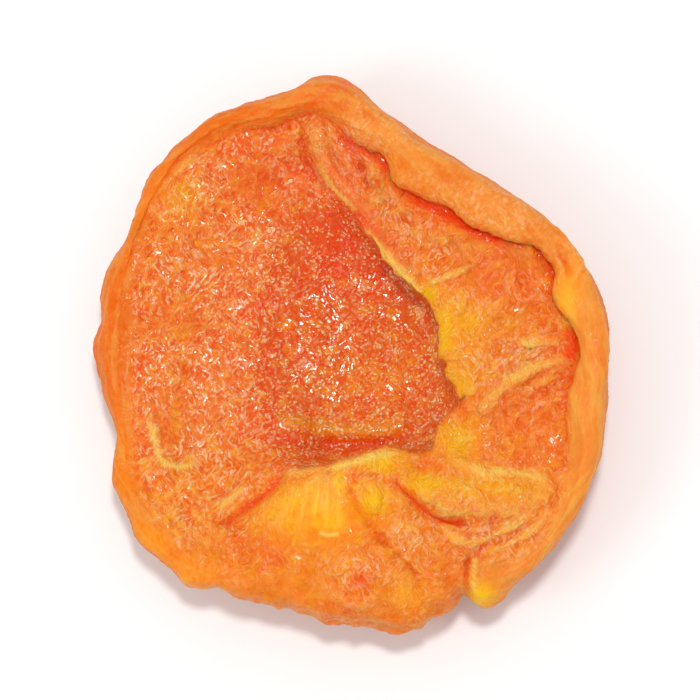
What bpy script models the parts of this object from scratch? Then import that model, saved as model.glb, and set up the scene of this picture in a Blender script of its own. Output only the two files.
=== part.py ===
"""A dried apricot half, lying cut side up: one closed solid, in metres, +Z up.

The half is a shallow bowl of leathery skin. Its margin has rolled in over the flesh
while it dried, and the stone has left a hollow with a standing lip. The surface is a
ball of quads: each of its meridians is drawn into the section that the half has at
that angle, from the middle of the stone's hollow, over the lip, the flesh and the
rolled rim, and back along the skin to the small flat that the half rests on.
"""

import math

import bmesh
import bpy
import numpy as np

MM = 0.001

# Driving dimensions. Plan points are in millimetres, x to the right and y up.
LENGTH_MM = 47.0
FLAT_RADIUS_MM = 5.0
HOLLOW_FLOOR_MM = 3.2
FOOT_BLUR = np.radians((-18, -9, 0, 9, 18))
LEAN = 0.2
LEAN_TOWARDS_DEG = -55.0
SPOKES = 112

# The widest line of the half, seen from the cut side.
OUTLINE_MM = (
    (21.7, 0.0), (21.4, 2.8), (20.2, 6.0), (18.1, 9.3), (15.4, 11.9), (11.8, 14.4),
    (8.0, 16.9), (4.4, 19.4), (2.2, 21.2), (1.0, 22.4), (-0.9, 23.4), (-2.8, 23.6),
    (-5.1, 22.6), (-7.5, 22.0), (-9.9, 21.3), (-13.2, 19.6), (-15.6, 17.4),
    (-17.6, 14.4), (-18.8, 11.2), (-20.6, 7.6), (-21.5, 3.8), (-21.7, 0.7),
    (-21.1, -3.1), (-20.2, -7.2), (-19.9, -11.0), (-18.7, -14.4), (-16.3, -17.2),
    (-13.3, -19.8), (-9.5, -20.6), (-5.9, -21.3), (-3.0, -22.4), (0.4, -23.0),
    (3.8, -23.5), (6.5, -22.7), (8.5, -21.5), (9.6, -20.5), (10.6, -21.2),
    (13.8, -19.6), (17.3, -16.3), (19.7, -12.4), (21.1, -7.9), (21.6, -3.6),
)
# Where the rolled rim ends on the flesh.
RIM_EDGE_MM = (
    (19.0, 0.4), (18.2, 2.2), (17.1, 3.8), (16.9, 5.0), (17.1, 6.1), (16.3, 7.6),
    (15.3, 8.6), (13.4, 9.0), (11.4, 9.7), (9.6, 10.6), (8.2, 11.9), (6.3, 12.6),
    (4.8, 13.4), (3.5, 14.6), (3.0, 16.2), (1.6, 17.0), (0.2, 18.0), (-1.3, 19.4),
    (-3.2, 20.2), (-5.2, 19.7), (-6.6, 19.1), (-8.5, 19.1), (-11.6, 18.0),
    (-14.0, 16.2), (-15.7, 13.7), (-17.3, 10.7), (-18.1, 6.9), (-18.3, 2.4),
    (-18.3, -2.4), (-18.1, -6.5), (-17.6, -10.3), (-16.3, -13.6), (-14.0, -16.2),
    (-10.6, -17.5), (-6.4, -18.2), (-1.3, -18.9), (3.9, -18.6), (7.3, -17.4),
    (9.9, -17.4), (12.8, -17.3), (15.3, -15.5), (17.0, -12.9), (17.8, -10.0),
    (17.9, -7.0), (17.8, -4.4), (18.4, -2.4), (19.0, -0.9),
)
# The lip of the hollow that the stone has left.
LIP_MM = (
    (7.7, 0.9), (7.5, 2.4), (6.5, 3.9), (5.4, 5.3), (4.0, 7.1), (2.8, 8.7), (1.6, 10.0),
    (0.2, 12.0), (-1.3, 13.4), (-3.4, 12.8), (-5.1, 11.2), (-6.4, 8.6), (-7.1, 5.0),
    (-7.5, 1.0), (-7.3, -2.8), (-7.0, -6.2), (-6.0, -9.6), (-4.8, -10.1),
    (-1.3, -9.5), (1.5, -8.9), (4.0, -8.3), (5.6, -9.0), (6.9, -8.7), (7.2, -7.0),
    (8.1, -5.7), (9.3, -4.5), (8.8, -3.5), (8.1, -2.4), (8.2, -1.2), (7.7, -0.3),
)

# Heights above the table and shares, each as (degrees round from +X, value).
WIDEST_MM = (
    (0, 6.4), (40, 7.0), (75, 6.8), (120, 5.8), (180, 5.0), (225, 5.0), (270, 5.2), (320, 5.8),
)
CREST_MM = (
    (0, 10.4), (30, 11.0), (60, 11.2), (85, 10.4), (105, 9.8), (130, 8.4),
    (150, 7.8), (180, 7.4), (220, 7.6), (245, 8.4), (270, 8.8), (300, 8.9), (330, 9.6),
)
SHELF_MM = (
    (0, 8.7), (30, 9.3), (60, 9.4), (90, 8.6), (120, 7.6), (150, 7.1), (180, 6.9),
    (210, 7.1), (240, 8.2), (270, 9.2), (300, 8.9), (330, 8.3),
)
LIP_HEIGHT_MM = (
    (0, 8.4), (30, 8.4), (60, 8.2), (85, 7.2), (105, 5.8), (130, 5.2), (180, 5.0),
    (215, 5.2), (232, 6.4), (245, 8.6), (270, 9.6), (295, 9.2), (315, 8.7), (335, 8.4),
)
# 1 where the rim overhangs the flesh in a fold, 0 where it runs into it.
FOLD = (
    (0, 1.0), (50, 1.0), (80, 0.9), (95, 0.45), (110, 0.4), (125, 0.25), (145, 0.1),
    (180, 0.05), (215, 0.05), (235, 0.0), (300, 0.0), (320, 0.05), (336, 0.2), (350, 0.6),
)
# 1 where the hollow's wall is steep and cut in under its lip, 0 where it is a slope.
STEEP = (
    (0, 1.0), (50, 1.0), (72, 0.8), (92, 0.25), (120, 0.0), (222, 0.0), (235, 0.2),
    (248, 0.65), (262, 1.0), (300, 1.0), (340, 1.0),
)

# Rows of quads between one station of the section and the next, centre to centre.
ROWS = (2, 2, 2, 2, 1, 3, 2, 1, 1, 1, 2, 2, 2, 2, 3, 3, 3, 2, 2)

# Swellings and ridges (+) and creases (-) of the cut side: points, half width and height.
CREASES_MM = {
    "bulge_by_the_lip": (((-4.4, -13.4), (-2.4, -13.4)), 3.2, 1.0),
    "lobe_of_the_margin": (((0.4, -18.8), (1.6, -18.8)), 3.0, 0.8),
    "lower_band": (((8.2, -11.9), (12.8, -12.1)), 1.4, 0.9),
    "trough_by_the_strand": (((1.2, 16.8), (2.0, 14.4)), 1.2, -0.6),
    "strand_from_the_stem": (
        ((-3.1, 19.6), (-2.7, 17.2), (-1.7, 14.8), (-0.1, 12.8), (1.5, 11.0)), 1.0, 0.65),
    "ridge_over_the_shelf": (
        ((18.2, -0.7), (15.0, -1.9), (13.3, -2.8), (11.9, -4.2), (10.9, -5.2)), 0.9, 0.75),
    "edge_of_the_lower_band": (
        ((16.9, -11.8), (13.0, -10.3), (11.2, -10.5), (8.0, -9.3)), 0.7, 0.5),
    "lip_of_the_lower_band": (
        ((5.2, -11.2), (8.4, -13.3), (13.2, -13.5), (16.6, -12.0)), 0.9, 0.6),
    "crease_under_the_lower_band": (
        ((3.4, -10.9), (5.1, -12.4), (6.6, -13.7), (8.2, -14.5), (9.6, -14.4)), 0.6, -0.5),
    "fold_below": (
        ((7.6, -14.8), (8.9, -15.9), (10.4, -16.1), (12.0, -15.5), (15.0, -13.9)), 0.5, 0.4),
    "crease_from_the_notch": (
        ((10.0, -23.0), (9.8, -21.0), (9.8, -19.4), (9.9, -18.0), (10.0, -16.8)), 0.6, -0.5),
    "arc_round_the_bulge_and_lobe": (
        ((-0.3, -10.2), (0.1, -12.0), (1.5, -14.4), (3.1, -16.3), (4.6, -17.9), (5.6, -19.4),
         (5.9, -21.7)), 0.6, -0.35),
    "crease_left_of_the_bulge": (
        ((-5.6, -10.0), (-6.7, -11.7), (-8.2, -12.8), (-9.4, -13.6), (-11.0, -14.6)), 0.6, -0.6),
    "fold_across_the_hollow": (
        ((-6.4, -5.4), (-4.2, -6.2), (-1.2, -6.9), (1.8, -7.0), (4.6, -6.4)), 0.9, 0.6),
    "crease_under_the_hollow_fold": (
        ((-6.1, -7.6), (-3.6, -7.9), (-0.4, -8.0), (2.8, -7.9), (4.8, -7.4)), 0.6, -0.4),
    "edge_of_the_top_roll": (
        ((-5.1, 19.6), (-3.7, 20.5), (-2.3, 21.6), (-0.6, 22.5), (0.9, 23.0)), 0.5, -0.3),
}

# Puckers of the skin: how many round the half, where they start, and their depth.
PUCKERS_MM = ((9, 0.4, 0.14), (16, 1.9, 0.13), (25, 0.8, 0.12))
# The stretch of skin that is drawn smooth, in degrees round from +X.
SMOOTH_SKIN_DEG = 20.0

FLESH_COLOUR = (0.93, 0.30, 0.035, 1.0)
FLESH_ROUGHNESS = 0.42


def around(angles, stops):
    """The closed curve through the stops at each angle, with slopes from their neighbours."""
    degrees, values = np.array(sorted(stops), float).T
    knots = np.radians(np.concatenate([degrees[-2:] - 360, degrees, degrees[:2] + 360]))
    values = np.concatenate([values[-2:], values, values[:2]])
    slopes = np.gradient(values, knots)
    turned = np.mod(angles, 2 * math.pi)
    low = np.clip(np.searchsorted(knots, turned, side="right") - 1, 0, len(knots) - 2)
    step = knots[low + 1] - knots[low]
    t = (turned - knots[low]) / step
    rise = values[low + 1] - values[low]
    bend = t * (1 - t)
    return (
        values[low] + rise * t * t * (3 - 2 * t)
        + bend * step * ((1 - t) * slopes[low] - t * slopes[low + 1])
    )


def reach(angles, plan_points):
    """How far from the centre a closed plan curve lies at each angle."""
    x, y = np.array(plan_points).T
    degrees = np.degrees(np.arctan2(y, x)) % 360
    return around(angles, tuple(zip(degrees, np.hypot(x, y))))


def mix(low, high, share):
    return low + (high - low) * share


def stations(angles):
    """The section's stations at each angle, (station, angle, (reach, height)), in mm."""
    outline, edge, lip = (reach(angles, c) for c in (OUTLINE_MM, RIM_EDGE_MM, LIP_MM))
    widest, crest, shelf = (around(angles, s) for s in (WIDEST_MM, CREST_MM, SHELF_MM))
    lip_height, fold, steep = (around(angles, s) for s in (LIP_HEIGHT_MM, FOLD, STEEP))
    floor = np.full_like(angles, HOLLOW_FLOOR_MM)
    soft_lip = np.mean([reach(angles + turn, LIP_MM) for turn in FOOT_BLUR], axis=0)
    foot = soft_lip * mix(0.5, 0.9, steep) + 0.4 * steep
    roll, rise = outline - edge, crest - shelf
    section = (
        (0 * floor, floor),
        (0.5 * foot, floor + 0.2),
        (foot, floor + mix(0.6, 0.9, steep)),
        (mix(foot, lip, 0.6) + 0.5 * steep, mix(floor, lip_height, 0.58)),
        (lip, lip_height - 0.1),
        (lip + 0.9, lip_height + 0.15),
        (mix(lip, edge, 0.55), mix(lip_height, shelf, 0.5)),
        (edge - 1.0, shelf),
        (edge + mix(-0.3, 0.3, fold), shelf + mix(0.15 * rise, -0.05, fold)),
        (edge + mix(0.3, 0.0, fold), shelf + mix(0.4 * rise, 0.4, fold)),
        (edge + mix(0.9, 0.3, fold), shelf + rise * mix(0.7, 0.85, fold)),
        (edge + mix(0.45, 0.38, fold) * roll, crest),
        (edge + mix(0.72, 0.76, fold) * roll, mix(widest, crest, mix(0.88, 0.93, fold))),
        (outline - 0.12 * roll, mix(widest, crest, 0.5)),
        (outline, widest),
        (outline - 1.3, 0.54 * widest),
        (0.79 * outline, 0.26 * widest),
        (0.53 * outline, 0.09 * widest),
        (np.full_like(angles, FLAT_RADIUS_MM), 0 * floor),
        (0 * floor, 0 * floor),
    )
    return np.array([np.stack(station, axis=-1) for station in section])


def through(points, rows):
    """The smooth line through the stations: cubic, with slopes weighed by the chords."""
    chords = np.linalg.norm(np.diff(points, axis=0), axis=-1)[..., None] + 1e-9
    pace = np.diff(points, axis=0) / chords
    slopes = np.concatenate([
        pace[:1],
        (chords[:-1] * pace[1:] + chords[1:] * pace[:-1]) / (chords[:-1] + chords[1:]),
        pace[-1:],
    ])
    line = []
    for k, count in enumerate(rows):
        for t in np.arange(count) / count:
            bend = t * (1 - t) * chords[k]
            line.append(
                mix(points[k], points[k + 1], t * t * (3 - 2 * t))
                + bend * ((1 - t) * slopes[k] - t * slopes[k + 1])
            )
    return np.array(line + [points[-1]])


def distance_to(plan, path):
    """How far each plan point is from a line of straight stretches."""
    nearest = np.full(plan.shape[:-1], np.inf)
    for start, end in zip(np.array(path[:-1]), np.array(path[1:])):
        along = end - start
        share = np.clip((plan - start) @ along / (along @ along), 0, 1)
        nearest = np.minimum(nearest, np.linalg.norm(plan - start - share[..., None] * along, axis=-1))
    return nearest


def section_grid(angles):
    """Every point of the half before its creases, (row, spoke, xyz), in mm."""
    points = stations(angles)
    flat_row = sum(ROWS[:-1])
    line = through(points, ROWS)
    line[flat_row:, :, 1] = 0
    line[flat_row:, :, 0] = np.linspace(FLAT_RADIUS_MM, 0, ROWS[-1] + 1)[:, None]
    return np.stack(
        [line[..., 0] * np.cos(angles), line[..., 0] * np.sin(angles), line[..., 1]], axis=-1)


def crease(grid):
    """Raises the swellings and ridges of the cut side, and sinks its creases."""
    last = sum(ROWS[:13])
    top = grid[:last + 1]
    for path, half_width, height in CREASES_MM.values():
        near = distance_to(top[..., :2], path) / half_width
        top[..., 2] += height * np.exp(-near ** 2)


def pucker(grid, angles):
    """Draws the skin in along its puckers, which fade towards the flat and the crest."""
    first, last = sum(ROWS[:11]), sum(ROWS[:-2])
    rows = np.arange(len(grid))
    fade = np.sin(math.pi * np.clip((rows - first) / (last - first), 0, 1))
    drawn = 0.5 - 0.5 * np.cos(angles - math.radians(SMOOTH_SKIN_DEG))
    depth = drawn * sum(d * np.cos(n * angles + start) for n, start, d in PUCKERS_MM)
    half_width = 0.5 * LENGTH_MM
    grid[..., :2] *= 1 - (fade[:, None] * depth / half_width)[..., None]


def lean(grid):
    """Leans the half: what is higher lies further towards one side."""
    towards = math.radians(LEAN_TOWARDS_DEG)
    grid[..., 0] += LEAN * math.cos(towards) * grid[..., 2]
    grid[..., 1] += LEAN * math.sin(towards) * grid[..., 2]


def flesh_material():
    material = bpy.data.materials.new("dried_apricot")
    material.use_nodes = True
    shader = material.node_tree.nodes["Principled BSDF"]
    shader.inputs["Base Color"].default_value = FLESH_COLOUR
    shader.inputs["Roughness"].default_value = FLESH_ROUGHNESS
    shader.inputs["Metallic"].default_value = 0.0
    return material


def apricot_half():
    """A ball whose rows and spokes are drawn onto the half's own."""
    rings = sum(ROWS)
    angles = np.arange(SPOKES) * 2 * math.pi / SPOKES
    grid = section_grid(angles)
    crease(grid)
    pucker(grid, angles)
    lean(grid)
    ball = bmesh.new()
    bmesh.ops.create_uvsphere(ball, u_segments=SPOKES, v_segments=rings, radius=1)
    for vertex in ball.verts:
        x, y, z = vertex.co
        row = round(math.acos(max(-1, min(1, z))) * rings / math.pi)
        spoke = round(math.atan2(y, x) * SPOKES / (2 * math.pi)) % SPOKES
        place = grid[row].mean(axis=0) if row in (0, rings) else grid[row, spoke]
        vertex.co = place * MM
    mesh = bpy.data.meshes.new("apricot_half")
    ball.to_mesh(mesh)
    ball.free()
    mesh.shade_smooth()
    half = bpy.data.objects.new("apricot_half", mesh)
    bpy.context.scene.collection.objects.link(half)
    half.data.materials.append(flesh_material())
    return half


for leftover in list(bpy.data.objects):
    bpy.data.objects.remove(leftover)
apricot_half()
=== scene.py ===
"""A dried apricot half, lying cut side up on a pale table, lit by soft studio lamps.

The half is worked out as one surface in its own plan: x to the right and y up as the
half is seen from the cut side, z above the table, all in millimetres. It is leaned over
and made metres at the very end.
"""

import math
from types import SimpleNamespace

import bpy
import numpy as np
from mathutils import Matrix, Vector


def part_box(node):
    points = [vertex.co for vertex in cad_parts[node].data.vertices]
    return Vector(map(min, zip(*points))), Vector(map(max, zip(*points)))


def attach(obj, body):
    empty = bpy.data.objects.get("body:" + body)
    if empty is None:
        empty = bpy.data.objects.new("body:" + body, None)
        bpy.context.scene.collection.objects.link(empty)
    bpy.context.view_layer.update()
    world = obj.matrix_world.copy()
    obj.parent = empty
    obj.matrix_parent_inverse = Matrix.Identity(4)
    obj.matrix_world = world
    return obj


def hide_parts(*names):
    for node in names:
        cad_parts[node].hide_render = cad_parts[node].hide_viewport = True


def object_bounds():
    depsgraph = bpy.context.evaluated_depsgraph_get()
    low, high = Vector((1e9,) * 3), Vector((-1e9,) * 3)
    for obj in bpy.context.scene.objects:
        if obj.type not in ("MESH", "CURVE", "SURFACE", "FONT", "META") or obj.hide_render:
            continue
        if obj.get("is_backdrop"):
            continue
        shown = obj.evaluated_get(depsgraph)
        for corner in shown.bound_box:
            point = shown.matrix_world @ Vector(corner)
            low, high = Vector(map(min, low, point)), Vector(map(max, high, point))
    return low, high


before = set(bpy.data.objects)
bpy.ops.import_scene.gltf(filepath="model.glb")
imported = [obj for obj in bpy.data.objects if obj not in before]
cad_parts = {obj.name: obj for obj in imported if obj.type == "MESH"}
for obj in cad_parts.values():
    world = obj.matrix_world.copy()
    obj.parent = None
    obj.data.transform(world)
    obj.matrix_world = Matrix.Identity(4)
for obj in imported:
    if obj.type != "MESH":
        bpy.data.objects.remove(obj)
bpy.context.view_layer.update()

# The half itself: an apricot cut round its seam, stoned and dried on a tray. It is one
# bowl of leathery skin whose cut margin has rolled in over the flesh. The plan curves
# below are its widest line, the inner edge of the rolled margin and the stone's hollow.
SPOKES = 600
FLAT_RADIUS_MM = 5.0
HOLLOW_FLOOR_MM = 3.2
FOOT_BLUR = np.radians((-18, -9, 0, 9, 18))
OUTLINE_MM = (
    (21.7, 0.0), (21.4, 2.8), (20.2, 6.0), (18.1, 9.3), (15.4, 11.9), (11.8, 14.4),
    (8.0, 16.9), (4.4, 19.4), (2.2, 21.2), (1.0, 22.4), (-0.9, 23.4), (-2.8, 23.6),
    (-5.1, 22.6), (-7.5, 22.0), (-9.9, 21.3), (-13.2, 19.6), (-15.6, 17.4),
    (-17.6, 14.4), (-18.8, 11.2), (-20.6, 7.6), (-21.5, 3.8), (-21.7, 0.7),
    (-21.1, -3.1), (-20.2, -7.2), (-19.9, -11.0), (-18.7, -14.4), (-16.3, -17.2),
    (-13.3, -19.8), (-9.5, -20.6), (-5.9, -21.3), (-3.0, -22.4), (0.4, -23.0),
    (3.8, -23.5), (6.5, -22.7), (8.5, -21.5), (9.6, -20.5), (10.6, -21.2),
    (13.8, -19.6), (17.3, -16.3), (19.7, -12.4), (21.1, -7.9), (21.6, -3.6),
)
RIM_EDGE_MM = (
    (19.0, 0.4), (18.2, 2.2), (17.1, 3.8), (16.9, 5.0), (17.1, 6.1), (16.3, 7.6),
    (15.3, 8.6), (13.4, 9.0), (11.4, 9.7), (9.6, 10.6), (8.2, 11.9), (6.3, 12.6),
    (4.8, 13.4), (3.5, 14.6), (3.0, 16.2), (1.6, 17.0), (0.2, 18.0), (-1.3, 19.4),
    (-3.2, 20.2), (-5.2, 19.7), (-6.6, 19.1), (-8.5, 19.1), (-11.6, 18.0),
    (-14.0, 16.2), (-15.7, 13.7), (-17.3, 10.7), (-18.1, 6.9), (-18.3, 2.4),
    (-18.3, -2.4), (-18.1, -6.5), (-17.6, -10.3), (-16.3, -13.6), (-14.0, -16.2),
    (-10.6, -17.5), (-6.4, -18.2), (-1.3, -18.9), (3.9, -18.6), (7.3, -17.4),
    (9.9, -17.4), (12.8, -17.3), (15.3, -15.5), (17.0, -12.9), (17.8, -10.0),
    (17.9, -7.0), (17.8, -4.4), (18.4, -2.4), (19.0, -0.9),
)
LIP_MM = (
    (7.7, 0.9), (7.5, 2.4), (6.5, 3.9), (5.4, 5.3), (4.0, 7.1), (2.8, 8.7), (1.6, 10.0),
    (0.2, 12.0), (-1.3, 13.4), (-3.4, 12.8), (-5.1, 11.2), (-6.4, 8.6), (-7.1, 5.0),
    (-7.5, 1.0), (-7.3, -2.8), (-7.0, -6.2), (-6.0, -9.6), (-4.8, -10.1),
    (-1.3, -9.5), (1.5, -8.9), (4.0, -8.3), (5.6, -9.0), (6.9, -8.7), (7.2, -7.0),
    (8.1, -5.7), (9.3, -4.5), (8.8, -3.5), (8.1, -2.4), (8.2, -1.2), (7.7, -0.3),
)

# Heights above the table and shares, each as (degrees round from +x, value).
WIDEST_MM = (
    (0, 6.4), (40, 7.0), (75, 6.8), (120, 5.8), (180, 5.0), (225, 5.0), (270, 5.2), (320, 5.8),
)
CREST_MM = (
    (0, 10.4), (30, 11.0), (60, 11.2), (85, 10.4), (105, 9.8), (130, 8.4),
    (150, 7.8), (180, 7.4), (220, 7.6), (245, 8.4), (270, 8.8), (300, 8.9), (330, 9.6),
)
SHELF_MM = (
    (0, 8.7), (30, 9.3), (60, 9.4), (90, 8.6), (120, 7.6), (150, 7.1), (180, 6.9),
    (210, 7.1), (240, 8.2), (270, 9.2), (300, 8.9), (330, 8.3),
)
LIP_HEIGHT_MM = (
    (0, 8.4), (30, 8.4), (60, 8.2), (85, 7.2), (105, 5.8), (130, 5.2), (180, 5.0),
    (215, 5.2), (232, 6.4), (245, 8.6), (270, 9.6), (295, 9.2), (315, 8.7), (335, 8.4),
)
# 1 where the rim overhangs the flesh in a fold, 0 where it runs into it.
FOLD = (
    (0, 1.0), (50, 1.0), (80, 0.9), (95, 0.45), (110, 0.4), (125, 0.25), (145, 0.1),
    (180, 0.05), (215, 0.05), (235, 0.0), (300, 0.0), (320, 0.05), (336, 0.2), (350, 0.6),
)
# 1 where the hollow's wall is steep and cut in under its lip, 0 where it is a slope.
STEEP = (
    (0, 1.0), (50, 1.0), (72, 0.8), (92, 0.25), (120, 0.0), (222, 0.0), (235, 0.2),
    (248, 0.65), (262, 1.0), (300, 1.0), (340, 1.0),
)

# Rows of the grid between one station of the section and the next, centre to centre.
ROWS = (12, 12, 8, 7, 5, 24, 21, 6, 5, 5, 7, 7, 6, 6, 8, 8, 7, 4, 3)


def around(angles, stops):
    """The closed curve through the stops at each angle, with slopes from their neighbours."""
    degrees, values = np.array(sorted(stops), float).T
    knots = np.radians(np.concatenate([degrees[-2:] - 360, degrees, degrees[:2] + 360]))
    values = np.concatenate([values[-2:], values, values[:2]])
    slopes = np.gradient(values, knots)
    turned = np.mod(angles, 2 * math.pi)
    low = np.clip(np.searchsorted(knots, turned, side="right") - 1, 0, len(knots) - 2)
    step = knots[low + 1] - knots[low]
    t = (turned - knots[low]) / step
    rise = values[low + 1] - values[low]
    bend = t * (1 - t)
    return (
        values[low] + rise * t * t * (3 - 2 * t)
        + bend * step * ((1 - t) * slopes[low] - t * slopes[low + 1])
    )


def reach(angles, plan_points):
    """How far from the centre a closed plan curve lies at each angle."""
    x, y = np.array(plan_points).T
    degrees = np.degrees(np.arctan2(y, x)) % 360
    return around(angles, tuple(zip(degrees, np.hypot(x, y))))


def mix(low, high, share):
    """From low at a share of 0 to high at a share of 1, straight between."""
    return low + (high - low) * share


def ramp(values, low, high):
    """0 up to low, 1 from high on, and the smooth step 3tt - 2ttt between them."""
    t = np.clip((values - low) / (high - low), 0, 1)
    return t * t * (3 - 2 * t)


def stations(angles):
    """The section's stations at each angle, (station, angle, (reach, height)), in mm."""
    outline, edge, lip = (reach(angles, c) for c in (OUTLINE_MM, RIM_EDGE_MM, LIP_MM))
    widest, crest, shelf = (around(angles, s) for s in (WIDEST_MM, CREST_MM, SHELF_MM))
    lip_height, fold, steep = (around(angles, s) for s in (LIP_HEIGHT_MM, FOLD, STEEP))
    floor = np.full_like(angles, HOLLOW_FLOOR_MM)
    soft_lip = np.mean([reach(angles + turn, LIP_MM) for turn in FOOT_BLUR], axis=0)
    foot = soft_lip * mix(0.5, 0.9, steep) + 0.4 * steep
    roll, rise = outline - edge, crest - shelf
    section = (
        (0 * floor, floor),
        (0.5 * foot, floor + 0.2),
        (foot, floor + mix(0.6, 0.9, steep)),
        (mix(foot, lip, 0.6) + 0.5 * steep, mix(floor, lip_height, 0.58)),
        (lip, lip_height - 0.1),
        (lip + 0.9, lip_height + 0.15),
        (mix(lip, edge, 0.55), mix(lip_height, shelf, 0.5)),
        (edge - 1.0, shelf),
        (edge + mix(-0.3, 0.3, fold), shelf + mix(0.15 * rise, -0.05, fold)),
        (edge + mix(0.3, 0.0, fold), shelf + mix(0.4 * rise, 0.4, fold)),
        (edge + mix(0.9, 0.3, fold), shelf + rise * mix(0.7, 0.85, fold)),
        (edge + mix(0.45, 0.38, fold) * roll, crest),
        (edge + mix(0.72, 0.76, fold) * roll, mix(widest, crest, mix(0.88, 0.93, fold))),
        (outline - 0.12 * roll, mix(widest, crest, 0.5)),
        (outline, widest),
        (outline - 1.3, 0.54 * widest),
        (0.79 * outline, 0.26 * widest),
        (0.53 * outline, 0.09 * widest),
        (np.full_like(angles, FLAT_RADIUS_MM), 0 * floor),
        (0 * floor, 0 * floor),
    )
    return np.array([np.stack(station, axis=-1) for station in section])


def through(points, rows):
    """The smooth line through the stations: cubic, with slopes weighed by the chords."""
    chords = np.linalg.norm(np.diff(points, axis=0), axis=-1)[..., None] + 1e-9
    pace = np.diff(points, axis=0) / chords
    slopes = np.concatenate([
        pace[:1],
        (chords[:-1] * pace[1:] + chords[1:] * pace[:-1]) / (chords[:-1] + chords[1:]),
        pace[-1:],
    ])
    line = []
    for k, count in enumerate(rows):
        for t in np.arange(count) / count:
            bend = t * (1 - t) * chords[k]
            line.append(
                mix(points[k], points[k + 1], t * t * (3 - 2 * t))
                + bend * ((1 - t) * slopes[k] - t * slopes[k + 1])
            )
    return np.array(line + [points[-1]])


angles = np.arange(SPOKES) * 2 * math.pi / SPOKES
line = through(stations(angles), ROWS)
flat_row = sum(ROWS[:-1])
line[flat_row:, :, 1] = 0
line[flat_row:, :, 0] = np.linspace(FLAT_RADIUS_MM, 0, ROWS[-1] + 1)[:, None]
half = np.stack(
    [line[..., 0] * np.cos(angles), line[..., 0] * np.sin(angles), line[..., 1]], axis=-1)
plan = half[..., :2].copy()
# Which station a row is at, as a number that runs on between one station and the next:
# 2 is the hollow's foot, 4 its lip, 8 the rim's inner edge, 11 the rim's crest, 14 the
# widest line and 18 the flat's edge.
station = np.concatenate(
    [k + np.arange(n) / n for k, n in enumerate(ROWS)] + [[len(ROWS)]])[:, None]
steep = around(angles, STEEP)[None]
fold = around(angles, FOLD)[None]
TOP_ROWS = sum(ROWS[:14])

# What the drying did to the cut side: swellings where pulp is left under the skin,
# folds that lean over their neighbours, and creases where the flesh sank. A fold is
# steep and leans over on the right hand of its path, and fades out at both ends.
SWELLINGS_MM = {
    "bulge_by_the_lip": ((-3.4, -13.4), (4.2, 3.0), 1.0),
    "lobe_of_the_margin": ((1.0, -18.8), (3.6, 2.9), 0.8),
    "shelf_by_the_lip": ((9.4, 0.6), (2.2, 3.4), 0.4),
    "lower_shelf": ((13.2, -7.0), (3.0, 2.4), -0.5),
    "upper_shelf": ((9.5, 8.0), (3.0, 1.6), -0.4),
    "lower_band": ((10.5, -12.0), (5.0, 1.3), 0.9),
    "trough_by_the_strand": ((1.6, 15.6), (1.2, 2.4), -0.7),
    "hollow_behind_the_corner": ((4.8, -10.3), (1.0, 0.8), -0.7),
}
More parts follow.
